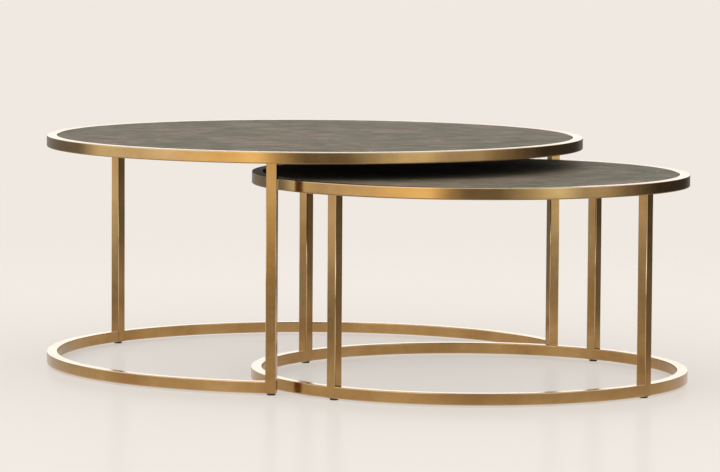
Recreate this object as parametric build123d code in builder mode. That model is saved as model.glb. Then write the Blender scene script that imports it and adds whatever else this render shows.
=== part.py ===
from build123d import *
import math
import os

# A pair of round nesting tables in rolled square tube.
# Millimetres, +Z up, floor at z = 0. +X is the way the small table slides out of the large one.
# The origin is on the floor, in the middle of the pair as it stands with the small table part way out.

# ---- Driving dimensions -------------------------------------------------------------------------
large_radius = 533.4
large_height = 457.2
large_leg_turn = 2.6
small_radius = 422.3
small_height = 404.0
small_leg_turn = 1.7
stand_out = 400.8

tube_width = 20.0
tube_wall = 1.5
hoop_height = 22.0
hoop_corner = 0.6
leg_corner = 1.2
vent_radius = 3.0

skin_thickness = 1.0
backing_thickness = 1.0
bar_thickness = 5.0
bar_width = 30.0
panel_gap = 0.8
large_bar_places = (-300.0, 0.0, 300.0)
small_bar_places = (-170.0, 170.0)
bar_end_margin = 60.0

glide_height = 4.0
glide_radius = 8.0
plug_length = 18.0
plug_gap = 0.1
pad_edge = 0.8

screw_radius = 2.0
screw_length = 15.0
screw_head_radius = 4.5
screw_head_height = 2.4
screw_gap = 0.1
bar_hole_gap = 0.3

# ---- Worked out from them -----------------------------------------------------------------------
centre_to_middle = (stand_out + small_radius - large_radius) / 2
large_x = -centre_to_middle
small_x = stand_out - centre_to_middle
core_thickness = hoop_height - skin_thickness - backing_thickness - bar_thickness
inner_tube = tube_width - 2 * tube_wall
inner_hoop = hoop_height - 2 * tube_wall

large_legs = {
    "large_leg_front_left": 300.0 + large_leg_turn,
    "large_leg_front_right": 60.0 + large_leg_turn,
    "large_leg_back": 180.0 + large_leg_turn,
}
small_legs = {
    "small_leg_front": 0.0 + small_leg_turn,
    "small_leg_right": 90.0 + small_leg_turn,
    "small_leg_back": 180.0 + small_leg_turn,
    "small_leg_left": 270.0 + small_leg_turn,
}
# The large base is open at the front, between its two front legs, so that the small table can go in.
large_rails = {
    "large_base_rail_right": (60.0 + large_leg_turn, 120.0),
    "large_base_rail_left": (180.0 + large_leg_turn, 120.0),
}
small_rails = {
    "small_base_rail_front_right": (0.0 + small_leg_turn, 90.0),
    "small_base_rail_back_right": (90.0 + small_leg_turn, 90.0),
    "small_base_rail_back_left": (180.0 + small_leg_turn, 90.0),
    "small_base_rail_front_left": (270.0 + small_leg_turn, 90.0),
}

os.makedirs("parts", exist_ok=True)


def save(part, name):
    """Labels a finished piece and writes it as its own file."""
    part.label = name
    export_step(part, f"parts/{name}.step")


def radial_plane(centre_x, angle):
    """An upright plane through a table's axis: its x runs outwards at the angle, its y runs up."""
    turn = math.radians(angle)
    return Plane(
        origin=(centre_x, 0, 0),
        x_dir=(math.cos(turn), math.sin(turn), 0),
        z_dir=(math.sin(turn), -math.cos(turn), 0),
    )


def leg_plane(centre_x, radius, angle, height):
    """A level plane on a leg's own axis, with its x pointing outwards.
    The leg's two outer corners lie on the hoop's outer circle, so nothing stands proud of it."""
    turn = math.radians(angle)
    reach = math.sqrt(radius**2 - (tube_width / 2) ** 2) - tube_width / 2
    return Plane(
        origin=(centre_x + reach * math.cos(turn), reach * math.sin(turn), height),
        x_dir=(math.cos(turn), math.sin(turn), 0),
        z_dir=(0, 0, 1),
    )


def make_hoop(name, centre_x, radius, top, legs):
    """The rolled tube that frames a top, vented into each leg through its underside."""
    with BuildPart() as hoop:
        with BuildSketch(radial_plane(centre_x, 0)):
            with Locations((radius - tube_width / 2, top - hoop_height / 2)):
                RectangleRounded(tube_width, hoop_height, hoop_corner)
                Rectangle(inner_tube, inner_hoop, mode=Mode.SUBTRACT)
        revolve(axis=Axis((centre_x, 0, 0), (0, 0, 1)))
        for angle in legs.values():
            with BuildSketch(leg_plane(centre_x, radius, angle, top - hoop_height)):
                Circle(vent_radius)
            extrude(amount=2 * tube_wall, mode=Mode.SUBTRACT)
    save(hoop.part, name)


def make_leg(name, centre_x, radius, angle, top):
    """A length of square tube, open at both ends, from its glide up to the hoop's underside."""
    with BuildPart() as leg:
        with BuildSketch(leg_plane(centre_x, radius, angle, glide_height)):
            RectangleRounded(tube_width, tube_width, leg_corner)
            Rectangle(inner_tube, inner_tube, mode=Mode.SUBTRACT)
        extrude(amount=top - hoop_height - glide_height)
    save(leg.part, name)


def make_rail(name, centre_x, radius, start, sweep_angle):
    """A rolled tube that joins two legs just above the floor, cut square to meet their sides."""
    with BuildPart() as rail:
        with BuildSketch(radial_plane(centre_x, start)):
            with Locations((radius - tube_width / 2, glide_height + hoop_height / 2)):
                RectangleRounded(tube_width, hoop_height, hoop_corner)
                Rectangle(inner_tube, inner_hoop, mode=Mode.SUBTRACT)
        revolve(axis=Axis((centre_x, 0, 0), (0, 0, 1)), revolution_arc=sweep_angle)
        for angle in (start, start + sweep_angle):
            with BuildSketch(leg_plane(centre_x, radius, angle, glide_height)):
                Rectangle(2 * tube_width, tube_width)
            extrude(amount=hoop_height, mode=Mode.SUBTRACT)
    save(rail.part, name)


def make_glide(name, centre_x, radius, angle):
    """A moulded glide: a round pad under the leg, with a square plug pushed up into the tube."""
    with BuildPart() as glide:
        with BuildSketch(leg_plane(centre_x, radius, angle, 0)):
            Circle(glide_radius)
        extrude(amount=glide_height)
        chamfer(glide.edges().group_by(Axis.Z)[0], pad_edge)
        with BuildSketch(leg_plane(centre_x, radius, angle, glide_height)):
            Rectangle(inner_tube - 2 * plug_gap, inner_tube - 2 * plug_gap)
        extrude(amount=plug_length)
    save(glide.part, name)


def screw_places(radius, bar_places):
    """Three screws to a bar: one at its middle and one near each end."""
    places = []
    for across in bar_places:
        half = math.sqrt((radius - tube_width) ** 2 - across**2) - bar_end_margin
        places += [(across, -half), (across, 0.0), (across, half)]
    return places


def make_bars(names, centre_x, radius, top, bar_places):
    """Flat bars under a top, welded into the hoop level with its underside, drilled for the screws."""
    under = top - hoop_height
    for name, across in zip(names, bar_places):
        with BuildPart() as bar:
            with BuildSketch(Plane((centre_x, 0, under))):
                Circle(radius - tube_width)
                with Locations((across, 0)):
                    Rectangle(bar_width, 2 * radius, mode=Mode.INTERSECT)
            extrude(amount=bar_thickness)
            with BuildSketch(Plane((centre_x, 0, under))):
                with Locations(*screw_places(radius, [across])):
                    Circle(screw_radius + bar_hole_gap)
            extrude(amount=bar_thickness, mode=Mode.SUBTRACT)
        save(bar.part, name)


def make_panel(table, centre_x, radius, top, bar_places):
    """The board that fills a hoop: a backing sheet, the core and the leather skin over it."""
    panel_radius = radius - tube_width - panel_gap
    places = screw_places(radius, bar_places)
    backing_base = top - hoop_height + bar_thickness
    core_base = backing_base + backing_thickness
    pilot_depth = screw_length - bar_thickness - backing_thickness + screw_gap

    with BuildPart() as backing:
        with BuildSketch(Plane((centre_x, 0, backing_base))):
            Circle(panel_radius)
            with Locations(*places):
                Circle(screw_radius + screw_gap, mode=Mode.SUBTRACT)
        extrude(amount=backing_thickness)
    save(backing.part, f"{table}_top_backing")

    with BuildPart() as core:
        with BuildSketch(Plane((centre_x, 0, core_base))):
            Circle(panel_radius)
        extrude(amount=core_thickness)
        with BuildSketch(Plane((centre_x, 0, core_base))):
            with Locations(*places):
                Circle(screw_radius + screw_gap)
        extrude(amount=pilot_depth, mode=Mode.SUBTRACT)
    save(core.part, f"{table}_top_core")

    with BuildPart() as skin:
        with BuildSketch(Plane((centre_x, 0, core_base + core_thickness))):
            Circle(panel_radius)
        extrude(amount=skin_thickness)
    save(skin.part, f"{table}_top_skin")


def make_screws(name, centre_x, radius, top, bar_places):
    """The pan-head screws that hold a board down on its bars, driven up from below."""
    under = top - hoop_height
    with BuildPart() as screws:
        with BuildSketch(Plane((centre_x, 0, under))):
            with Locations(*screw_places(radius, bar_places)):
                Circle(screw_radius)
        extrude(amount=screw_length)
        with BuildSketch(Plane((centre_x, 0, under))):
            with Locations(*screw_places(radius, bar_places)):
                Circle(screw_head_radius)
        extrude(amount=-screw_head_height)
    save(screws.part, name)


def make_table(table, centre_x, radius, top, legs, rails, bar_places):
    """One whole table, piece by piece."""
    make_hoop(f"{table}_rim_hoop", centre_x, radius, top, legs)
    for name, angle in legs.items():
        make_leg(name, centre_x, radius, angle, top)
        make_glide(name.replace("leg", "glide"), centre_x, radius, angle)
    for name, (start, sweep_angle) in rails.items():
        make_rail(name, centre_x, radius, start, sweep_angle)
    bar_names = [f"{table}_support_bar_{number + 1}" for number in range(len(bar_places))]
    make_bars(bar_names, centre_x, radius, top, bar_places)
    make_panel(table, centre_x, radius, top, bar_places)
    make_screws(f"{table}_top_screws", centre_x, radius, top, bar_places)


make_table("large", large_x, large_radius, large_height, large_legs, large_rails, large_bar_places)
make_table("small", small_x, small_radius, small_height, small_legs, small_rails, small_bar_places)
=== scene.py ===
import math

import bmesh
import bpy
from mathutils import Matrix, Vector


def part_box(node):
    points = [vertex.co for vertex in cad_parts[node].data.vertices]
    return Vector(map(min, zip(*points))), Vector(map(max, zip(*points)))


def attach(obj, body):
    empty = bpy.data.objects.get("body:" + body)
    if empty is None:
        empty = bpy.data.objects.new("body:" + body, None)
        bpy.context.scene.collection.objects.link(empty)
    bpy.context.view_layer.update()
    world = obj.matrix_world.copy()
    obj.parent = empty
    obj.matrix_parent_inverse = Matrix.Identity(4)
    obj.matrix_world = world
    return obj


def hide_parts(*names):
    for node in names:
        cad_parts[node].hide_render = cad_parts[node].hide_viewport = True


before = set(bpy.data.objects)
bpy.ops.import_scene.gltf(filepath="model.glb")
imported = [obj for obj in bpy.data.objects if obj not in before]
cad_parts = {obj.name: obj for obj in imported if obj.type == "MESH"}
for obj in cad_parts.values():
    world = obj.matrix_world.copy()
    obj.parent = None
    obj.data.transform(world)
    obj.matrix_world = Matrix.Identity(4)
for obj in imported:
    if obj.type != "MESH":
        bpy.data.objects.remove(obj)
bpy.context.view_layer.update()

bl_info = {
    "name": "Nesting Tables",
    "version": (1, 0, 0),
    "blender": (4, 5, 0),
    "location": "3D View > Sidebar > Nesting Tables",
    "description": "Builds two round nesting tables in brass tube and embossed leather",
    "category": "Object",
}

MM = 0.001
SAME_PLACE = 0.01 * MM
TABLES = ("large", "small")
ROUND_STEPS = 288
RAIL_STEP = math.radians(1.25)
NEUTRAL = (1.0, 1.0, 1.0)
WARM = (1.0, 0.88, 0.62)
COOL = (0.92, 1.0, 1.0)
# The soft panels round the studio: degrees round the tables from the camera, positive to its right,
# brightness and tint.
SOFT_PANELS = (
    (-180, 0.14, NEUTRAL),
    (-142, 0.10, NEUTRAL),
    (-118, 0.10, NEUTRAL),
    (-104, 0.56, COOL),
    (-84, 0.42, NEUTRAL),
    (-62, 0.52, NEUTRAL),
    (-42, 0.62, WARM),
    (-24, 0.78, WARM),
    (-16, 0.34, WARM),
    (-6, 0.10, NEUTRAL),
    (14, 0.10, NEUTRAL),
    (26, 0.30, COOL),
    (38, 0.56, COOL),
    (48, 0.56, COOL),
    (58, 0.22, NEUTRAL),
    (70, 0.34, NEUTRAL),
    (82, 0.18, NEUTRAL),
    (96, 0.08, NEUTRAL),
    (112, 0.02, NEUTRAL),
    (150, 0.02, NEUTRAL),
    (180, 0.14, NEUTRAL),
)


# ---- Where the frame puts things

def middle(node):
    """The middle of a CAD node's box."""
    low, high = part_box(node)
    return (low + high) / 2


def hoop_size(table):
    """A table's axis point on the floor, its outer radius, and the bottom and top of its hoop."""
    low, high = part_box(f"{table}_rim_hoop")
    centre = Vector(((low.x + high.x) / 2, (low.y + high.y) / 2, 0))
    radius = min(high.x - low.x, high.y - low.y) / 2
    return centre, radius, low.z, high.z


def nodes_of(table, word):
    """The names of a table's CAD nodes that hold a word, such as leg."""
    return sorted(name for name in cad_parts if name.startswith(table) and word in name)


def angle_about(centre, point):
    """The angle of a point round a table's axis, from +X."""
    return math.atan2(point.y - centre.y, point.x - centre.x)


# ---- Meshes and pieces

def verts_of(geometry):
    """The vertices in what a bmesh operator gives back."""
    return [item for item in geometry if isinstance(item, bmesh.types.BMVert)]


def round_edges(bm, edges, radius, segments):
    """Rounds edges to a radius, each in a number of flat steps."""
    bmesh.ops.bevel(bm, geom=edges, affect="EDGES", offset=radius, segments=segments, profile=0.5,
                    material=-1)


def piece_from(bm, name, material, smooth=True):
    """Makes an object of a finished bmesh, with its place in its mesh."""
    bmesh.ops.remove_doubles(bm, verts=bm.verts, dist=SAME_PLACE)
    bmesh.ops.recalc_face_normals(bm, faces=bm.faces)
    mesh = bpy.data.meshes.new(name)
    bm.to_mesh(mesh)
    bm.free()
    for face in mesh.polygons:
        face.use_smooth = smooth
    mesh.materials.append(material)
    made = bpy.data.objects.new(name, mesh)
    bpy.context.scene.collection.objects.link(made)
    return made


def settle(piece, table, replaced):
    """Rides a piece on its table, in place of CAD nodes, which it hides."""
    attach(piece, f"{table}_table")
    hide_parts(*replaced)


def tube_section(bm, centre, radius, low, high, width, support):
    """A closed ring of edges: a hoop's section, standing at angle 0, with extra points beside its corners
    that keep its flats flat when it is shaded smooth. Returns the section's vertices and edges."""
    corners = [(radius, low), (radius, high), (radius - width, high), (radius - width, low)]
    ring = []
    for number, corner in enumerate(corners):
        before = corners[number - 1]
        after = corners[(number + 1) % 4]
        for other, away in ((before, support), (before, 0.0), (after, support)):
            share = away / math.dist(corner, other)
            reach = corner[0] + (other[0] - corner[0]) * share
            height = corner[1] + (other[1] - corner[1]) * share
            ring.append(bm.verts.new((centre.x + reach, centre.y, height)))
    edges = [bm.edges.new((ring[i - 1], ring[i])) for i in range(len(ring))]
    return ring, edges


def corner_edges(bm, centre, radius, low, high, width):
    """The edges that run round a hoop along the four corners of its section."""
    found = []
    for edge in bm.edges:
        ends = [(math.hypot(v.co.x - centre.x, v.co.y - centre.y), v.co.z) for v in edge.verts]
        on_corner = all(
            min(abs(reach - radius), abs(reach - radius + width)) < 2 * SAME_PLACE
            and min(abs(height - low), abs(height - high)) < 2 * SAME_PLACE
            for reach, height in ends
        )
        if on_corner:
            found.append(edge)
    return found


def mark_tube(piece, centre, radius, low, high, width, reach_of_wear_and_highlight):
    """Gives a rolled tube a UV map in metres along its length, and an attribute that is 1 on its corners."""
    mesh = piece.data
    # This marks where the brass is painted pale on its corners: wear and a painted highlight.
    wear_and_highlight = mesh.attributes.new("corner_wear_and_highlight", "FLOAT", "POINT")
    for vertex in mesh.vertices:
        reach = math.hypot(vertex.co.x - centre.x, vertex.co.y - centre.y)
        away = math.hypot(
            min(abs(reach - radius), abs(reach - radius + width)),
            min(abs(vertex.co.z - low), abs(vertex.co.z - high)),
        )
        wear_and_highlight.data[vertex.index].value = max(0.0, 1.0 - away / reach_of_wear_and_highlight)
    layer = mesh.uv_layers.new(name="along_tube")
    for face in mesh.polygons:
        first = None
        for loop_index in face.loop_indices:
            place = mesh.vertices[mesh.loops[loop_index].vertex_index].co
            turn = math.atan2(place.y - centre.y, place.x - centre.x)
            if first is None:
                first = turn
            elif turn - first > math.pi:
                turn -= 2 * math.pi
            elif first - turn > math.pi:
                turn += 2 * math.pi
            reach = math.hypot(place.x - centre.x, place.y - centre.y)
            layer.data[loop_index].uv = (turn * radius, reach + place.z)


# ---- Colours and shader nodes

def colour(code):
    """Turns an sRGB hex code into the linear colour that the shaders work in."""
    values = [int(code[i:i + 2], 16) / 255 for i in (1, 3, 5)]
    linear = [v / 12.92 if v <= 0.04045 else ((v + 0.055) / 1.055) ** 2.4 for v in values]
    return (*linear, 1.0)


def add(tree, kind, inputs=None, **settings):
    """Adds a node with its settings, and sets or links its inputs."""
    made = tree.nodes.new(kind)
    for key, value in settings.items():
        setattr(made, key, value)
    for key, value in (inputs or {}).items():
        if isinstance(value, bpy.types.NodeSocket):
            tree.links.new(value, made.inputs[key])
        else:
            made.inputs[key].default_value = value
    return made


def ramp(tree, factor, stops):
    """Adds a colour ramp with its stops, given as (place, colour)."""
    made = add(tree, "ShaderNodeValToRGB", {"Fac": factor})
    elements = made.color_ramp.elements
    while len(elements) < len(stops):
        elements.new(1.0)
    for element, (place, shade) in zip(elements, stops):
        element.position = place
        element.color = shade
    return made


def new_material(name):
    """An empty material: its tree, its shader and the shader's own sockets are filled in by the caller."""
    material = bpy.data.materials.new(name)
    material.use_nodes = True
    tree = material.node_tree
    tree.nodes.clear()
    shader = add(tree, "ShaderNodeBsdfPrincipled")
    add(tree, "ShaderNodeOutputMaterial", {"Surface": shader.outputs["BSDF"]})
    return material, tree, shader


def antique_brass(name, rolled):
    """Antique brass plate on steel tube, brushed along its length and then toned and lacquered.
    The eye gets a warm satin metal with fine lines along each tube, browner clouds in the toning, and
    corners painted pale: partly metal that the buffing has worn back, partly a painted highlight."""
    looks = bpy.context.scene.nesting_finish
    material, tree, shader = new_material(name)
    place = add(tree, "ShaderNodeTexCoord")
    # Brush lines are about 0.1 mm apart on the real tube. They are drawn 0.7 mm apart so that they show,
    # and each is about 170 mm long.
    across = 1400.0
    length = 6.0
    if rolled:
        source = place.outputs["UV"]
        stretch = (length, across, 1.0)
    else:
        source = place.outputs["Object"]
        stretch = (across, across, length)
    along = add(tree, "ShaderNodeMapping", {"Vector": source, "Scale": stretch})
    lines = add(tree, "ShaderNodeTexNoise", {"Vector": along.outputs[0], "Scale": 1.0, "Detail": 3.0})
    # Toning clouds are about 120 mm across, with a finer break-up of 15 mm.
    clouds = add(tree, "ShaderNodeTexNoise",
                 {"Vector": place.outputs["Object"], "Scale": 8.0, "Detail": 3.0, "Roughness": 0.55})
    specks = add(tree, "ShaderNodeTexNoise",
                 {"Vector": place.outputs["Object"], "Scale": 65.0, "Detail": 5.0, "Roughness": 0.6})
    both = add(tree, "ShaderNodeMix",
               {0: 0.2, 2: clouds.outputs["Fac"], 3: specks.outputs["Fac"]}, data_type="FLOAT")
    toned = ramp(tree, both.outputs[0], [
        (0.36, colour(looks.brass_dark)),
        (0.52, colour(looks.brass)),
        (0.68, colour(looks.brass_light)),
    ])
    brushed = add(tree, "ShaderNodeMix",
                  {0: 0.16, 6: toned.outputs["Color"], 7: lines.outputs["Color"]},
                  data_type="RGBA", blend_type="OVERLAY")
    # The corners are painted pale: partly worn bright metal, partly a painted highlight along each edge.
    wear_and_highlight_mask = add(tree, "ShaderNodeAttribute", attribute_name="corner_wear_and_highlight")
    wear_and_highlight = add(tree, "ShaderNodeMath", {0: wear_and_highlight_mask.outputs["Fac"], 1: 0.65}, operation="MULTIPLY")
    metal = add(tree, "ShaderNodeMix",
                {0: wear_and_highlight.outputs[0], 6: brushed.outputs[2], 7: colour(looks.brass_corner_wear_and_highlight)}, data_type="RGBA")
    gloss = add(tree, "ShaderNodeMapRange",
                {"Value": specks.outputs["Fac"], "To Min": looks.brass_roughness - 0.03,
                 "To Max": looks.brass_roughness + 0.04})
    relief = add(tree, "ShaderNodeBump",
                 {"Height": lines.outputs["Fac"], "Strength": 0.25, "Distance": 0.04 * MM})
    tree.links.new(metal.outputs[2], shader.inputs["Base Color"])
    tree.links.new(gloss.outputs[0], shader.inputs["Roughness"])
    tree.links.new(relief.outputs["Normal"], shader.inputs["Normal"])
    shader.inputs["Metallic"].default_value = 1.0
    shader.inputs["Coat Weight"].default_value = 0.08
    shader.inputs["Coat Roughness"].default_value = 0.25
    return material


def embossed_leather(name):
    """Split leather embossed with a fine pebble like ray skin, then sponged with grey-brown stain.
    The eye gets a dull, slightly satin surface that drifts between olive grey and a rosy brown, with
    soft pale smears and pale tips on the pebbles."""
    looks = bpy.context.scene.nesting_finish
    material, tree, shader = new_material(name)
    place = add(tree, "ShaderNodeTexCoord").outputs["Object"]
    # The stain drifts from olive to rosy over patches of 200 to 300 mm.
    drift = add(tree, "ShaderNodeTexNoise",
                {"Vector": place, "Scale": 4.5, "Detail": 4.0, "Roughness": 0.6, "Distortion": 0.2})
    stain = ramp(tree, drift.outputs["Fac"], [
        (0.36, colour(looks.leather_olive)),
        (0.5, colour(looks.leather)),
        (0.64, colour(looks.leather_rosy)),
    ])
    # Sponge dabs are about 50 mm across, and break up into 2 mm.
    dabs = add(tree, "ShaderNodeTexNoise",
               {"Vector": place, "Scale": 20.0, "Detail": 5.0, "Roughness": 0.68, "Distortion": 0.3})
    depth = ramp(tree, dabs.outputs["Fac"], [
        (0.34, (0.33, 0.33, 0.33, 1.0)),
        (0.66, (0.67, 0.67, 0.67, 1.0)),
    ])
    dabbed = add(tree, "ShaderNodeMix",
                 {0: 0.8, 6: stain.outputs["Color"], 7: depth.outputs["Color"]},
                 data_type="RGBA", blend_type="OVERLAY")
    # The pebbles are 2 mm across. They are drawn 4 mm across so that they show.
    pebbles = add(tree, "ShaderNodeTexVoronoi",
                  {"Vector": place, "Scale": 250.0, "Randomness": 0.85}, feature="SMOOTH_F1")
    tips = ramp(tree, pebbles.outputs["Distance"], [
        (0.05, (1.0, 1.0, 1.0, 1.0)),
        (0.55, (0.0, 0.0, 0.0, 1.0)),
    ])
    share = add(tree, "ShaderNodeMath", {0: tips.outputs["Color"], 1: 0.3}, operation="MULTIPLY")
    tipped = add(tree, "ShaderNodeMix",
                 {0: share.outputs[0], 6: dabbed.outputs[2], 7: colour(looks.leather_tip)}, data_type="RGBA")
    relief = add(tree, "ShaderNodeBump",
                 {"Height": pebbles.outputs["Distance"], "Strength": 0.35, "Distance": 0.5 * MM}, invert=True)
    gloss = add(tree, "ShaderNodeMapRange",
                {"Value": dabs.outputs["Fac"], "From Min": 0.3, "From Max": 0.7,
                 "To Min": 0.85, "To Max": 0.7})
    tree.links.new(tipped.outputs[2], shader.inputs["Base Color"])
    tree.links.new(gloss.outputs[0], shader.inputs["Roughness"])
    tree.links.new(relief.outputs["Normal"], shader.inputs["Normal"])
    shader.inputs["Specular IOR Level"].default_value = 0.2
    return material


def mottled(name, tones, drift, grain, relief, roughness, metallic=0.0):
    """A plain finish: one noise drifts between two tones and another raises its relief. The noises are
    given by their settings, a tone by (place, hex code) and the relief by (strength, height)."""
    material, tree, shader = new_material(name)
    place = add(tree, "ShaderNodeTexCoord").outputs["Object"]
    drifting = add(tree, "ShaderNodeTexNoise", {"Vector": place, **drift})
    raised = add(tree, "ShaderNodeTexNoise", {"Vector": place, **grain})
    shade = ramp(tree, drifting.outputs["Fac"], [(spot, colour(code)) for spot, code in tones])
    strength, height = relief
    bump = add(tree, "ShaderNodeBump",
               {"Height": raised.outputs["Fac"], "Strength": strength, "Distance": height})
    tree.links.new(shade.outputs["Color"], shader.inputs["Base Color"])
    tree.links.new(bump.outputs["Normal"], shader.inputs["Normal"])
    shader.inputs["Roughness"].default_value = roughness
    shader.inputs["Metallic"].default_value = metallic
    return material


def raw_fibreboard(name):
    """Medium-density fibreboard, sawn and left raw. The eye gets a fine felted brown with tiny dark
    fibres."""
    # The clumps of fibre are about 1 mm across.
    fibres = {"Scale": 900.0, "Detail": 6.0, "Roughness": 0.7}
    return mottled(name, [(0.3, "#8a6a46"), (0.7, "#b08e66")], fibres, fibres, (0.3, 0.1 * MM), 0.85)


def black_backing_sheet(name):
    """Resin-filled black paper pressed on to balance the board. The eye gets a flat black with a faint
    orange peel."""
    # The smears are about 110 mm across, and the orange peel has waves of about 3 mm.
    smears = {"Scale": 9.0, "Detail": 3.0}
    peel = {"Scale": 320.0, "Detail": 4.0}
    return mottled(name, [(0.3, "#1b1a18"), (0.7, "#2b2926")], smears, peel, (0.35, 0.12 * MM), 0.62)


def bronze_powder_coat(name):
    """Dark bronze polyester powder baked on flat steel bar. The eye gets a near-black brown with a fine
    orange peel and a dull glint."""
    # The coat thins and thickens over about 30 mm, and its orange peel has waves of about 2 mm.
    dust = {"Scale": 30.0, "Detail": 4.0}
    peel = {"Scale": 480.0, "Detail": 2.0}
    return mottled(name, [(0.35, "#3a2f26"), (0.65, "#4a3d31")], dust, peel, (0.3, 0.2 * MM), 0.42)


def toned_weld_bead(name):
    """Weld metal left as laid and toned with the frame. The eye gets a dull brown metal, darker and rougher
    than the tube."""
    # The soot and scale lie in flecks of about 2.5 mm.
    soot = {"Scale": 420.0, "Detail": 4.0}
    tones = [(0.35, "#5a4630"), (0.65, "#8a6c45")]
    return mottled(name, tones, soot, soot, (0.3, 0.2 * MM), 0.45, metallic=1.0)


def moulded_nylon(name):
    """Black-brown nylon, injection moulded with a fine spark texture. The eye gets a dull soft plastic."""
    # The spark texture has pits of about 0.4 mm.
    spark = {"Scale": 2500.0, "Detail": 2.0}
    return mottled(name, [(0.3, "#1d1a17"), (0.7, "#2a2622")], spark, spark, (0.3, 0.05 * MM), 0.5)


def zinc_plate(name):
    """Bright zinc plate on a pressed steel screw. The eye gets a pale cool metal with a slight yellow
    bloom."""
    material, tree, shader = new_material(name)
    place = add(tree, "ShaderNodeTexCoord").outputs["Object"]
    bloom = add(tree, "ShaderNodeTexNoise", {"Vector": place, "Scale": 700.0, "Detail": 3.0})
    shade = ramp(tree, bloom.outputs["Fac"], [(0.35, colour("#a9a493")), (0.65, colour("#c9c6bb"))])
    gloss = add(tree, "ShaderNodeMapRange", {"Value": bloom.outputs["Fac"], "To Min": 0.22, "To Max": 0.42})
    tree.links.new(shade.outputs["Color"], shader.inputs["Base Color"])
    tree.links.new(gloss.outputs[0], shader.inputs["Roughness"])
    shader.inputs["Metallic"].default_value = 1.0
    return material


def finish(name, maker, *choices):
    """The material of that name, made the first time that it is asked for."""
    return bpy.data.materials.get(name) or maker(name, *choices)


def rolled_brass():
    """The brass of the hoops and rails, brushed along their curve."""
    return finish("antique_brass_rolled", antique_brass, True)


def straight_brass():
    """The brass of the legs, brushed up and down."""
    return finish("antique_brass_straight", antique_brass, False)


# ---- Settings

class NESTING_PG_sizes(bpy.types.PropertyGroup):
    """Sizes of the visible pieces that the frame doesn't give."""

    tube_width: bpy.props.FloatProperty(
        name="Tube width", description="Width of the square tube", default=0.020, unit="LENGTH")
    tube_wall: bpy.props.FloatProperty(
        name="Tube wall", description="Wall of the square tube, seen at its foot", default=0.0015,
        unit="LENGTH")
    hoop_corner: bpy.props.FloatProperty(
        name="Hoop corner", description="Radius along the corners of the rolled tubes", default=0.0009,
        unit="LENGTH")
    leg_corner: bpy.props.FloatProperty(
        name="Leg corner", description="Radius down the corners of the legs", default=0.0013, unit="LENGTH")
    # The pale corners stand for both worn metal and a painted highlight.
    corner_wear_and_highlight: bpy.props.FloatProperty(
        name="Worn width", description="How far the bright wear reaches from a corner", default=0.0018,
        unit="LENGTH")
    bead_width: bpy.props.FloatProperty(
        name="Bead width", description="Width of a weld bead", default=0.005, unit="LENGTH")
    bead_pitch: bpy.props.FloatProperty(
        name="Bead pitch", description="Distance between the ripples of a weld bead", default=0.0017,
        unit="LENGTH")
    leather_roll: bpy.props.FloatProperty(
        name="Leather roll", description="Radius of the leather where it turns down at its edge",
        default=0.0009, unit="LENGTH")


class NESTING_PG_finish(bpy.types.PropertyGroup):
    """Colours and gloss of the finishes."""

    brass: bpy.props.StringProperty(
        name="Brass", description="Antique brass, as an sRGB hex code", default="#b9935f")
    brass_dark: bpy.props.StringProperty(
        name="Toned brass", description="The browner clouds in the brass", default="#ab8452")
    brass_light: bpy.props.StringProperty(
        name="Light brass", description="The lighter clouds in the brass", default="#c4a06d")
    # This pale corner colour is partly worn metal and partly a painted highlight.
    brass_corner_wear_and_highlight: bpy.props.StringProperty(
        name="Worn brass", description="The bright metal on worn corners", default="#e6d6b4")
    brass_roughness: bpy.props.FloatProperty(
        name="Brass roughness", description="How satin the brass is", default=0.18, min=0.05, max=1.0,
        subtype="FACTOR")
    leather: bpy.props.StringProperty(
        name="Leather", description="Grey-brown stain of the leather", default="#726857")
    leather_olive: bpy.props.StringProperty(
        name="Olive leather", description="The greener drifts in the stain", default="#66624f")
    leather_rosy: bpy.props.StringProperty(
        name="Rosy leather", description="The redder drifts in the stain", default="#7f6f5e")
    leather_tip: bpy.props.StringProperty(
        name="Pebble tip", description="Pale tips of the pebbles", default="#8d8576")


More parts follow.
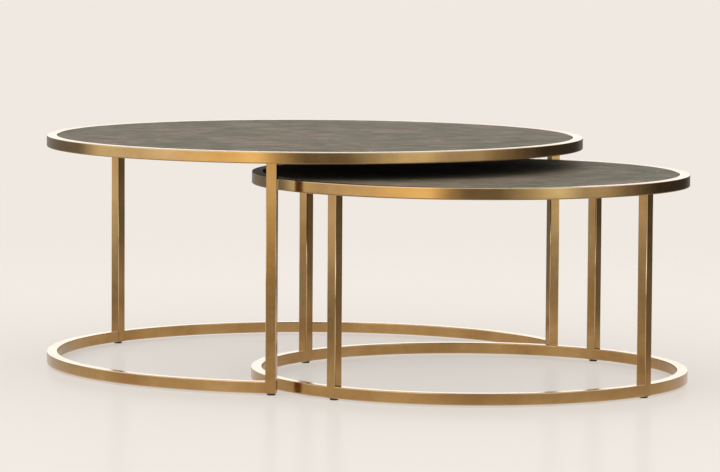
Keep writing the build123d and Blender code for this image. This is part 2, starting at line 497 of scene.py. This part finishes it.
class NESTING_PG_stage(bpy.types.PropertyGroup):
    """The camera's place and the studio round the tables."""

    heading: bpy.props.FloatProperty(
        name="Heading", description="Where the camera stands round the large table, from its right-hand side",
        default=math.radians(41.34), subtype="ANGLE")
    pan: bpy.props.FloatProperty(
        name="Pan", description="How far the camera turns to the right of the large table",
        default=math.radians(0.652), subtype="ANGLE")
    tilt: bpy.props.FloatProperty(
        name="Tilt", description="How far the camera looks down", default=math.radians(4.995),
        subtype="ANGLE")
    roll: bpy.props.FloatProperty(
        name="Roll", description="How far the camera leans", default=math.radians(0.367), subtype="ANGLE")
    distance: bpy.props.FloatProperty(
        name="Distance", description="Camera to the large table's axis", default=7.983, unit="LENGTH")
    height: bpy.props.FloatProperty(
        name="Height", description="Camera above the floor", default=0.953, unit="LENGTH")
    lens: bpy.props.FloatProperty(
        name="Lens", description="Focal length in millimetres", default=200.5)
    backdrop: bpy.props.StringProperty(
        name="Backdrop", description="Colour of the plain backdrop, as an sRGB hex code", default="#f0e9e1")
    floor_paint: bpy.props.StringProperty(
        name="Floor paint", description="Colour of the floor, as an sRGB hex code", default="#f2ebe3")
    floor_shade: bpy.props.StringProperty(
        name="Floor shade", description="The unlit floor further out, as the metal shows it",
        default="#8f8a84")
    floor_glow: bpy.props.FloatProperty(
        name="Floor glow", description="How much of the floor's light comes through it from below",
        default=0.55, min=0.0, max=1.0, subtype="FACTOR")
    floor_gloss: bpy.props.FloatProperty(
        name="Floor gloss", description="How much the floor mirrors", default=0.04, min=0.0, max=1.0,
        subtype="FACTOR")
    floor_reach: bpy.props.FloatProperty(
        name="Floor reach", description="Where the floor has faded away", default=3.2, unit="LENGTH")
    panel_light: bpy.props.FloatProperty(
        name="Panels", description="Brightness of the soft panels at eye height", default=2.4, min=0.1)
    walls: bpy.props.FloatProperty(
        name="Walls", description="Brightness of the white walls above the panels", default=1.5, min=0.0)
    ceiling: bpy.props.FloatProperty(
        name="Ceiling", description="Brightness of the plain white ceiling", default=0.6, min=0.0)
    overhead: bpy.props.FloatProperty(
        name="Overhead", description="Strength of the softbox overhead", default=0.2, min=0.0)


# ---- The frame: hoops, rails, legs and glides

class NESTING_OT_rim_hoops(bpy.types.Operator):
    """Build the rolled tube hoop round each top"""

    bl_idname = "nesting.rim_hoops"
    bl_label = "Rim hoops"

    def execute(self, context):
        sizes = context.scene.nesting_sizes
        for table in TABLES:
            centre, radius, low, high = hoop_size(table)
            width = sizes.tube_width
            bm = bmesh.new()
            ring, edges = tube_section(bm, centre, radius, low, high, width, 3 * sizes.hoop_corner)
            bmesh.ops.spin(bm, geom=ring + edges, cent=centre, axis=(0, 0, 1), angle=2 * math.pi,
                           steps=ROUND_STEPS, use_merge=True)
            round_edges(bm, corner_edges(bm, centre, radius, low, high, width), sizes.hoop_corner, 3)
            hoop = piece_from(bm, f"{table}_rim_brass", rolled_brass())
            mark_tube(hoop, centre, radius, low, high, width, sizes.corner_wear_and_highlight)
            settle(hoop, table, [f"{table}_rim_hoop"])
        return {"FINISHED"}


class NESTING_OT_base_rails(bpy.types.Operator):
    """Build the rolled tube rails that join the legs near the floor"""

    bl_idname = "nesting.base_rails"
    bl_label = "Base rails"

    def execute(self, context):
        sizes = context.scene.nesting_sizes
        for table in TABLES:
            centre, radius, _, _ = hoop_size(table)
            legs = sorted(angle_about(centre, middle(leg)) for leg in nodes_of(table, "_leg_"))
            for rail in nodes_of(table, "_base_rail_"):
                self.make_rail(sizes, table, rail, centre, radius, legs)
        return {"FINISHED"}

    def make_rail(self, sizes, table, rail, centre, radius, legs):
        """One rail, spun from the leg before it to the leg after it and then cut off inside them."""
        low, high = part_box(rail)
        width = sizes.tube_width
        ends = self.leg_ends(self.turn_of(rail, centre), legs)
        bm = bmesh.new()
        ring, edges = tube_section(bm, centre, radius, low.z, high.z, width, 3 * sizes.hoop_corner)
        sweep = ends[1] - ends[0]
        steps = round(sweep / RAIL_STEP)
        bmesh.ops.rotate(bm, verts=ring, cent=centre, matrix=Matrix.Rotation(ends[0], 3, "Z"))
        bmesh.ops.spin(bm, geom=ring + edges, cent=centre, axis=(0, 0, 1), angle=sweep, steps=steps)
        bmesh.ops.remove_doubles(bm, verts=bm.verts, dist=SAME_PLACE)
        round_edges(bm, corner_edges(bm, centre, radius, low.z, high.z, width), sizes.hoop_corner, 3)
        # Each end runs on into the leg's rounded corner, where the weld is ground flush.
        reach = width / 2 - sizes.leg_corner
        for end, side in ((ends[0], 1), (ends[1], -1)):
            across = Vector((-math.sin(end), math.cos(end), 0)) * side
            cut = bmesh.ops.bisect_plane(
                bm, geom=bm.verts[:] + bm.edges[:] + bm.faces[:], plane_co=centre + across * reach,
                plane_no=across, clear_inner=True)
            open_end = [item for item in cut["geom_cut"] if isinstance(item, bmesh.types.BMEdge)]
            bmesh.ops.holes_fill(bm, edges=open_end, sides=0)
        made = piece_from(bm, rail.replace("_base_rail_", "_rail_brass_"), rolled_brass())
        mark_tube(made, centre, radius, low.z, high.z, width, sizes.corner_wear_and_highlight)
        settle(made, table, [rail])

    def turn_of(self, rail, centre):
        """The angle of a rail's middle: the direction in which its mesh mostly lies."""
        total = Vector((0, 0, 0))
        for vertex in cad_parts[rail].data.vertices:
            total += (vertex.co - centre).normalized()
        return math.atan2(total.y, total.x)

    def leg_ends(self, mid_turn, legs):
        """The angles of the nearest leg before and after a rail's middle."""
        full = 2 * math.pi
        before = mid_turn - min((mid_turn - leg) % full for leg in legs)
        after = mid_turn + min((leg - mid_turn) % full for leg in legs)
        return before, after


class NESTING_OT_legs(bpy.types.Operator):
    """Build the square tube legs, with their open lower ends"""

    bl_idname = "nesting.legs"
    bl_label = "Legs"

    def execute(self, context):
        sizes = context.scene.nesting_sizes
        for table in TABLES:
            centre, _, _, _ = hoop_size(table)
            for leg in nodes_of(table, "_leg_"):
                self.make_leg(sizes, table, leg, centre)
        return {"FINISHED"}

    def make_leg(self, sizes, table, leg, centre):
        """One leg, whose top runs on into the hoop's rounded corner, where the weld is ground flush."""
        low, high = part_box(leg)
        length = high.z - low.z + sizes.hoop_corner
        spot = Vector((middle(leg).x, middle(leg).y, low.z + length / 2))
        turn = angle_about(centre, spot)
        place = Matrix.Translation(spot) @ Matrix.Rotation(turn, 4, "Z")
        width = sizes.tube_width
        bm = bmesh.new()
        bmesh.ops.create_cube(bm, size=1.0)
        bmesh.ops.scale(bm, vec=(width, width, length), verts=bm.verts)
        upright = [edge for edge in bm.edges if abs(edge.verts[0].co.z - edge.verts[1].co.z) > length / 2]
        round_edges(bm, upright, sizes.leg_corner, 4)
        # The mouth of the tube is modelled as deep as the tube is wide, which the glide's plug then fills.
        foot = min(bm.faces, key=lambda face: face.calc_center_median().z)
        bmesh.ops.inset_region(bm, faces=[foot], thickness=sizes.tube_wall, use_even_offset=True)
        lifted = bmesh.ops.extrude_face_region(bm, geom=[foot])["geom"]
        bmesh.ops.translate(bm, vec=(0, 0, width), verts=verts_of(lifted))
        bmesh.ops.delete(bm, geom=[foot], context="FACES_ONLY")
        bmesh.ops.transform(bm, matrix=place, verts=bm.verts)
        made = piece_from(bm, leg.replace("_leg_", "_leg_brass_"), straight_brass(), smooth=False)
        self.mark_leg(made, place.inverted(), width, sizes)
        settle(made, table, [leg])

    def mark_leg(self, piece, back, width, sizes):
        """Shades only the rounded corners smooth, so that the sides stay flat, and marks them for the pale
        corner paint: wear and a painted highlight.
        """
        wear_and_highlight = piece.data.attributes.new("corner_wear_and_highlight", "FLOAT", "POINT")
        flat = width / 2 - sizes.leg_corner + SAME_PLACE
        for vertex in piece.data.vertices:
            spot = back @ vertex.co
            if abs(spot.x) > flat and abs(spot.y) > flat:
                wear_and_highlight.data[vertex.index].value = 1.0
        # A corner's faces look along neither of the leg's own directions.
        turned = back.to_3x3()
        slightly = 0.05
        for face in piece.data.polygons:
            way = turned @ face.normal
            face.use_smooth = min(abs(way.x), abs(way.y)) > slightly


class NESTING_OT_glides(bpy.types.Operator):
    """Build the moulded glide under each leg"""

    bl_idname = "nesting.glides"
    bl_label = "Glides"

    def execute(self, context):
        sizes = context.scene.nesting_sizes
        plastic = finish("moulded_nylon", moulded_nylon)
        for table in TABLES:
            centre, _, _, _ = hoop_size(table)
            for glide in nodes_of(table, "_glide_"):
                self.make_glide(sizes, table, glide, centre, plastic)
        return {"FINISHED"}

    def make_glide(self, sizes, table, glide, centre, plastic):
        """One glide: a round pad under the leg and a square plug up in its mouth."""
        plug_slack = 0.2 * MM
        pad_radius = 8.0 * MM
        sole_round = 0.9 * MM
        low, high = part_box(glide)
        leg_low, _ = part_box(glide.replace("_glide_", "_leg_"))
        spot = Vector((middle(glide).x, middle(glide).y, 0))
        turn = angle_about(centre, spot)
        plug = sizes.tube_width - 2 * sizes.tube_wall - plug_slack
        bm = bmesh.new()
        bmesh.ops.create_cone(bm, cap_ends=True, segments=48, radius1=pad_radius, radius2=pad_radius,
                              depth=leg_low.z - low.z)
        bmesh.ops.translate(bm, vec=(0, 0, (leg_low.z + low.z) / 2), verts=bm.verts)
        sole = min(bm.faces, key=lambda face: face.calc_center_median().z)
        round_edges(bm, sole.edges[:], sole_round, 3)
        block = bmesh.ops.create_cube(bm, size=1.0)["verts"]
        bmesh.ops.scale(bm, vec=(plug, plug, high.z - leg_low.z), verts=block)
        bmesh.ops.translate(bm, vec=(0, 0, (high.z + leg_low.z) / 2), verts=block)
        place = Matrix.Translation(spot) @ Matrix.Rotation(turn, 4, "Z")
        bmesh.ops.transform(bm, matrix=place, verts=bm.verts)
        made = piece_from(bm, glide.replace("_glide_", "_glide_nylon_"), plastic)
        made.data.set_sharp_from_angle(angle=math.radians(40))
        settle(made, table, [glide])


# ---- The tops

class NESTING_OT_leather_tops(bpy.types.Operator):
    """Build the embossed leather that covers each board"""

    bl_idname = "nesting.leather_tops"
    bl_label = "Leather tops"

    def execute(self, context):
        sizes = context.scene.nesting_sizes
        leather = finish("sponged_embossed_leather", embossed_leather)
        for table in TABLES:
            skin = f"{table}_top_skin"
            low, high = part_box(skin)
            spot = middle(skin)
            radius = min(high.x - low.x, high.y - low.y) / 2
            roll = sizes.leather_roll
            bm = bmesh.new()
            bmesh.ops.create_cone(bm, cap_ends=True, segments=ROUND_STEPS, radius1=radius, radius2=radius,
                                  depth=high.z - low.z)
            top = max(bm.faces, key=lambda face: face.calc_center_median().z)
            round_edges(bm, top.edges[:], roll, 4)
            top = max(bm.faces, key=lambda face: (face.calc_center_median().z, face.calc_area()))
            for step in (2 * roll, radius / 3, radius / 3):
                bmesh.ops.inset_region(bm, faces=[top], thickness=step, use_even_offset=True)
            bmesh.ops.poke(bm, faces=[top])
            bmesh.ops.translate(bm, vec=spot, verts=bm.verts)
            made = piece_from(bm, f"{table}_top_leather", leather)
            made.data.set_sharp_from_angle(angle=math.radians(60))
            settle(made, table, [skin])
        return {"FINISHED"}


class NESTING_OT_boards(bpy.types.Operator):
    """Finish the boards, their backing sheets and the bars that carry them"""

    bl_idname = "nesting.boards"
    bl_label = "Boards and bars"

    def execute(self, context):
        finishes = {
            "_top_core": finish("raw_fibreboard", raw_fibreboard),
            "_top_backing": finish("black_backing_sheet", black_backing_sheet),
            "_support_bar": finish("bronze_powder_coat", bronze_powder_coat),
        }
        for table in TABLES:
            for word, material in finishes.items():
                for name in nodes_of(table, word):
                    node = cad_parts[name]
                    node.data.materials.clear()
                    node.data.materials.append(material)
        return {"FINISHED"}


class NESTING_OT_weld_beads(bpy.types.Operator):
    """Build the weld beads that join each bar's ends to the inside of its hoop"""

    bl_idname = "nesting.weld_beads"
    bl_label = "Weld beads"

    def execute(self, context):
        sizes = context.scene.nesting_sizes
        for table in TABLES:
            centre, radius, _, _ = hoop_size(table)
            bm = bmesh.new()
            for bar in nodes_of(table, "_support_bar"):
                self.make_bead(bm, sizes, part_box(bar), centre, radius - sizes.tube_width)
            beads = piece_from(bm, f"{table}_weld_beads", finish("toned_weld_bead", toned_weld_bead))
            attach(beads, f"{table}_table")
        return {"FINISHED"}

    def make_bead(self, bm, sizes, box, centre, inside):
        """Two rows of overlapping ripples along the joint lines under one bar, one at each end."""
        # A ripple is a ball, flattened along the joint and downwards, and the welder's hand wavers.
        along_share = 0.62
        down_share = 0.42
        waver = 0.12
        low, high = box
        bar_middle = (low.x + high.x) / 2 - centre.x
        half = (high.x - low.x) / 2 - sizes.bead_width / 2
        count = round(2 * half / sizes.bead_pitch)
        for side in (1, -1):
            for number in range(count + 1):
                across = bar_middle - half + 2 * half * number / count
                along = side * math.sqrt(inside ** 2 - across ** 2)
                swell = 1.0 + waver * math.sin(2.4 * number + bar_middle * 30)
                place = Matrix.Translation((centre.x + across, centre.y + along, low.z))
                shape = Matrix.Diagonal((along_share, swell, down_share, 1.0))
                bmesh.ops.create_uvsphere(bm, u_segments=14, v_segments=8, radius=sizes.bead_width / 2,
                                          matrix=place @ shape)


class NESTING_OT_screws(bpy.types.Operator):
    """Build the pan-head screws that hold the boards down on their bars"""

    bl_idname = "nesting.screws"
    bl_label = "Screws"

    def execute(self, context):
        zinc = finish("zinc_plate", zinc_plate)
        for table in TABLES:
            node = f"{table}_top_screws"
            bm = bmesh.new()
            self.make_screw(bm, *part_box(node))
            pattern = bm.verts[:] + bm.edges[:] + bm.faces[:]
            for spot in self.screw_spots(node):
                copy = bmesh.ops.duplicate(bm, geom=pattern)["geom"]
                bmesh.ops.translate(bm, vec=(spot.x, spot.y, 0), verts=verts_of(copy))
            bmesh.ops.delete(bm, geom=verts_of(pattern))
            made = piece_from(bm, f"{table}_screws_zinc", zinc)
            made.data.set_sharp_from_angle(angle=math.radians(50))
            settle(made, table, [node])
        return {"FINISHED"}

    def screw_spots(self, node):
        """The axis of each screw: the middle of each cluster of points in the node's own mesh."""
        wider_than_a_head = 12 * MM
        groups = []
        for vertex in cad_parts[node].data.vertices:
            spot = vertex.co.xy
            near = [group for group in groups if (group[0] - spot).length < wider_than_a_head]
            if near:
                near[0].append(spot.copy())
            else:
                groups.append([spot.copy()])
        spots = []
        for group in groups:
            xs = [spot.x for spot in group]
            ys = [spot.y for spot in group]
            spots.append(Vector(((min(xs) + max(xs)) / 2, (min(ys) + max(ys)) / 2)))
        return spots

    def make_screw(self, bm, low, high):
        """One screw on the Z axis: a domed head with a cross recess below, and a shank up into the board."""
        head_radius = 4.4 * MM
        head_height = 2.4 * MM
        head_round = 1.3 * MM
        shank_radius = 1.9 * MM
        recess_margin = 0.9 * MM
        recess_depth = 1.3 * MM
        bmesh.ops.create_cone(bm, cap_ends=True, segments=32, radius1=head_radius, radius2=head_radius,
                              depth=head_height)
        bmesh.ops.translate(bm, vec=(0, 0, low.z + head_height / 2), verts=bm.verts)
        crown = min(bm.faces, key=lambda face: face.calc_center_median().z)
        round_edges(bm, crown.edges[:], head_round, 4)
        crown = min(bm.faces, key=lambda face: (face.calc_center_median().z, -face.calc_area()))
        bmesh.ops.inset_region(bm, faces=[crown], thickness=recess_margin, use_even_offset=True)
        # The points between the four arms of the cross are drawn in towards the axis.
        arm = 0.6
        waist = 0.4
        for vertex in crown.verts:
            turn = math.atan2(vertex.co.y, vertex.co.x)
            if math.cos(4 * turn) < arm:
                vertex.co.x *= waist
                vertex.co.y *= waist
        lifted = bmesh.ops.extrude_face_region(bm, geom=[crown])["geom"]
        bmesh.ops.delete(bm, geom=[crown], context="FACES_ONLY")
        bmesh.ops.translate(bm, vec=(0, 0, recess_depth), verts=verts_of(lifted))
        shank = bmesh.ops.create_cone(bm, cap_ends=True, segments=16, radius1=shank_radius,
                                      radius2=shank_radius, depth=high.z - low.z - head_height)["verts"]
        bmesh.ops.translate(bm, vec=(0, 0, (high.z + low.z + head_height) / 2), verts=shank)


# ---- The stage

class NESTING_OT_stage(bpy.types.Operator):
    """Set the floor, the studio light and the camera"""

    bl_idname = "nesting.stage"
    bl_label = "Stage"

    def execute(self, context):
        stage = context.scene.nesting_stage
        centre, _, _, _ = hoop_size("large")
        view = Matrix.Translation(centre) @ Matrix.Rotation(stage.heading, 4, "Z")
        self.make_floor(stage)
        self.make_world(context, stage)
        self.make_lights(stage, view)
        self.make_camera(context, stage, view)
        context.scene.view_settings.view_transform = "Standard"
        return {"FINISHED"}

    def make_floor(self, stage):
        """A pale floor under the tables that fades into the surround, so that it has no edge or horizon."""
        # Distances from the middle of the floor.
        fade_start = 0.45 * stage.floor_reach
        fade_end = 0.98 * stage.floor_reach
        solid_end = 0.94 * stage.floor_reach
        shade_start = 0.6
        shade_full = 1.3
        bm = bmesh.new()
        bmesh.ops.create_circle(bm, cap_ends=True, segments=96, radius=stage.floor_reach)
        mesh = bpy.data.meshes.new("studio_floor")
        bm.to_mesh(mesh)
        bm.free()
        floor = bpy.data.objects.new("studio_floor", mesh)
        bpy.context.scene.collection.objects.link(floor)
        material = bpy.data.materials.new("painted_studio_floor")
        material.use_nodes = True
        tree = material.node_tree
        tree.nodes.clear()
        place = add(tree, "ShaderNodeTexCoord").outputs["Object"]
        reach = add(tree, "ShaderNodeVectorMath", {0: place}, operation="LENGTH")
        fade = add(tree, "ShaderNodeMapRange",
                   {"Value": reach.outputs["Value"], "From Min": fade_start, "From Max": fade_end,
                    "To Min": 1.0, "To Max": 0.0},
                   interpolation_type="SMOOTHSTEP")
        # The metal mirrors a floor that doesn't fade, and painted shade darkens that floor away from the
        # tables.
        edge = add(tree, "ShaderNodeMath", {0: reach.outputs["Value"], 1: solid_end}, operation="LESS_THAN")
        rays = add(tree, "ShaderNodeLightPath")
        solid = add(tree, "ShaderNodeMix",
                    {0: rays.outputs["Is Glossy Ray"], 2: fade.outputs[0], 3: edge.outputs[0]},
                    data_type="FLOAT")
        shade = add(tree, "ShaderNodeMapRange",
                    {"Value": reach.outputs["Value"], "From Min": shade_start, "From Max": shade_full})
        shaded = add(tree, "ShaderNodeMath", {0: shade.outputs[0], 1: rays.outputs["Is Glossy Ray"]},
                     operation="MULTIPLY")
        paint = add(tree, "ShaderNodeMix",
                    {0: shaded.outputs[0], 6: colour(stage.floor_paint), 7: colour(stage.floor_shade)},
                    data_type="RGBA")
        dull = add(tree, "ShaderNodeBsdfDiffuse", {"Color": paint.outputs[2]})
        sheen = add(tree, "ShaderNodeBsdfAnisotropic", {"Color": (1.0, 1.0, 1.0, 1.0), "Roughness": 0.2})
        glow = add(tree, "ShaderNodeEmission", {"Color": paint.outputs[2], "Strength": 1.0})
        lit = add(tree, "ShaderNodeMixShader",
                  {0: stage.floor_glow, 1: dull.outputs[0], 2: glow.outputs[0]})
        painted = add(tree, "ShaderNodeMixShader",
                      {0: stage.floor_gloss, 1: lit.outputs[0], 2: sheen.outputs[0]})
        clear = add(tree, "ShaderNodeBsdfTransparent")
        faded = add(tree, "ShaderNodeMixShader",
                    {0: solid.outputs[0], 1: clear.outputs[0], 2: painted.outputs[0]})
        add(tree, "ShaderNodeOutputMaterial", {"Surface": faded.outputs[0]})
        mesh.materials.append(material)

    def make_world(self, context, stage):
        """The studio: soft panels stand round the tables at eye height, under a plain white ceiling.
        The camera sees only a plain backdrop."""
        # Heights are the Z of a direction 1 long: 0 is level and 1 is straight up.
        panel_top = 0.14
        wall_foot = 0.3
        ceiling_foot = 0.85
        # A bright strip stands opposite the camera, between these heights and this far round.
        strip_foot = 0.03
        strip_full = 0.08
        strip_fade = 0.2
        strip_top = 0.3
        strip_side = 0.82
        strip_middle = 0.95
        strip_light = 0.72
        world = bpy.data.worlds.new("studio_surround")
        context.scene.world = world
        world.use_nodes = True
        tree = world.node_tree
        tree.nodes.clear()
        way = add(tree, "ShaderNodeTexCoord").outputs["Generated"]
        turned = add(tree, "ShaderNodeMapping", {"Vector": way, "Rotation": (0, 0, -stage.heading)})
        parts = add(tree, "ShaderNodeSeparateXYZ", {"Vector": turned.outputs[0]})
        back = add(tree, "ShaderNodeMath", {0: parts.outputs["Y"], 1: -1.0}, operation="MULTIPLY")
        turn = add(tree, "ShaderNodeMath", {0: parts.outputs["X"], 1: back.outputs[0]}, operation="ARCTAN2")
        share = add(tree, "ShaderNodeMapRange",
                    {"Value": turn.outputs[0], "From Min": -math.pi, "From Max": math.pi})
        panels = ramp(tree, share.outputs[0], [
            ((degrees + 180) / 360, (*(part * level for part in tint), 1.0))
            for degrees, level, tint in SOFT_PANELS
        ])
        rise = add(tree, "ShaderNodeMapRange",
                   {"Value": parts.outputs["Z"], "From Min": strip_foot, "From Max": strip_full})
        fall = add(tree, "ShaderNodeMapRange",
                   {"Value": parts.outputs["Z"], "From Min": strip_fade, "From Max": strip_top,
                    "To Min": 1.0, "To Max": 0.0})
        behind = add(tree, "ShaderNodeMapRange",
                     {"Value": parts.outputs["Y"], "From Min": strip_side, "From Max": strip_middle})
        band = add(tree, "ShaderNodeMath", {0: rise.outputs[0], 1: fall.outputs[0]}, operation="MULTIPLY")
        strip = add(tree, "ShaderNodeMath", {0: band.outputs[0], 1: behind.outputs[0]}, operation="MULTIPLY")
        backed = add(tree, "ShaderNodeMix",
                     {0: strip.outputs[0], 6: panels.outputs["Color"],
                      7: (strip_light, strip_light, strip_light, 1.0)},
                     data_type="RGBA")
        overhead = add(tree, "ShaderNodeMapRange",
                       {"Value": parts.outputs["Z"], "From Min": panel_top, "From Max": wall_foot})
        low_band = add(tree, "ShaderNodeMath", {0: 1.0, 1: strip.outputs[0]}, operation="SUBTRACT")
        above = add(tree, "ShaderNodeMath", {0: overhead.outputs[0], 1: low_band.outputs[0]},
                    operation="MULTIPLY")
        upper = add(tree, "ShaderNodeMapRange",
                    {"Value": parts.outputs["Z"], "From Min": wall_foot, "From Max": ceiling_foot,
                     "To Min": stage.walls / stage.panel_light, "To Max": stage.ceiling / stage.panel_light})
        dome = add(tree, "ShaderNodeMix",
                   {0: above.outputs[0], 6: backed.outputs[2], 7: upper.outputs[0]}, data_type="RGBA")
        lit = add(tree, "ShaderNodeBackground", {"Color": dome.outputs[2], "Strength": stage.panel_light})
        plain = add(tree, "ShaderNodeBackground", {"Color": colour(stage.backdrop), "Strength": 1.0})
        rays = add(tree, "ShaderNodeLightPath")
        chosen = add(tree, "ShaderNodeMixShader",
                     {0: rays.outputs["Is Camera Ray"], 1: lit.outputs[0], 2: plain.outputs[0]})
        add(tree, "ShaderNodeOutputWorld", {"Surface": chosen.outputs[0]})

    def make_lights(self, stage, view):
        """A very wide soft light from overhead, leaning to one side so that the shadows aren't even."""
        spread = math.radians(70)
        lean = math.radians(-25)
        sun = bpy.data.lights.new("overhead_softbox", "SUN")
        sun.energy = stage.overhead
        sun.angle = spread
        lamp = bpy.data.objects.new("overhead_softbox", sun)
        bpy.context.scene.collection.objects.link(lamp)
        lamp.matrix_world = view @ Matrix.Rotation(lean, 4, "Y")

    def make_camera(self, context, stage, view):
        """The camera, placed from the large table's axis."""
        data = bpy.data.cameras.new("product_camera")
        data.lens = stage.lens
        data.sensor_width = 36.0
        data.clip_end = 200.0
        camera = bpy.data.objects.new("product_camera", data)
        context.scene.collection.objects.link(camera)
        camera.matrix_world = (
            view
            @ Matrix.Translation((0, -stage.distance, stage.height))
            @ Matrix.Rotation(-stage.pan, 4, "Z")
            @ Matrix.Rotation(math.pi / 2 - stage.tilt, 4, "X")
            @ Matrix.Rotation(stage.roll, 4, "Z")
        )
        context.scene.camera = camera


class NESTING_PT_panel(bpy.types.Panel):
    """The steps that build the tables, in order"""

    bl_label = "Nesting Tables"
    bl_idname = "NESTING_PT_panel"
    bl_space_type = "VIEW_3D"
    bl_region_type = "UI"
    bl_category = "Nesting Tables"

    def draw(self, context):
        for step in STEPS:
            self.layout.operator(step.bl_idname)
        for group in GROUPS:
            settings = getattr(context.scene, group)
            for name in settings.__annotations__:
                self.layout.prop(settings, name)


GROUPS = {
    "nesting_sizes": NESTING_PG_sizes,
    "nesting_finish": NESTING_PG_finish,
    "nesting_stage": NESTING_PG_stage,
}
STEPS = (
    NESTING_OT_rim_hoops,
    NESTING_OT_base_rails,
    NESTING_OT_legs,
    NESTING_OT_glides,
    NESTING_OT_leather_tops,
    NESTING_OT_boards,
    NESTING_OT_weld_beads,
    NESTING_OT_screws,
    NESTING_OT_stage,
)


def register():
    for group in GROUPS.values():
        bpy.utils.register_class(group)
    for name, group in GROUPS.items():
        setattr(bpy.types.Scene, name, bpy.props.PointerProperty(type=group))
    for step in STEPS:
        bpy.utils.register_class(step)
    bpy.utils.register_class(NESTING_PT_panel)


def unregister():
    bpy.utils.unregister_class(NESTING_PT_panel)
    for step in reversed(STEPS):
        bpy.utils.unregister_class(step)
    for name in GROUPS:
        delattr(bpy.types.Scene, name)
    for group in reversed(GROUPS.values()):
        bpy.utils.unregister_class(group)


def main():
    register()
    bpy.ops.nesting.rim_hoops()
    bpy.ops.nesting.base_rails()
    bpy.ops.nesting.legs()
    bpy.ops.nesting.glides()
    bpy.ops.nesting.leather_tops()
    bpy.ops.nesting.boards()
    bpy.ops.nesting.weld_beads()
    bpy.ops.nesting.screws()
    bpy.ops.nesting.stage()


if __name__ == "__main__":
    main()
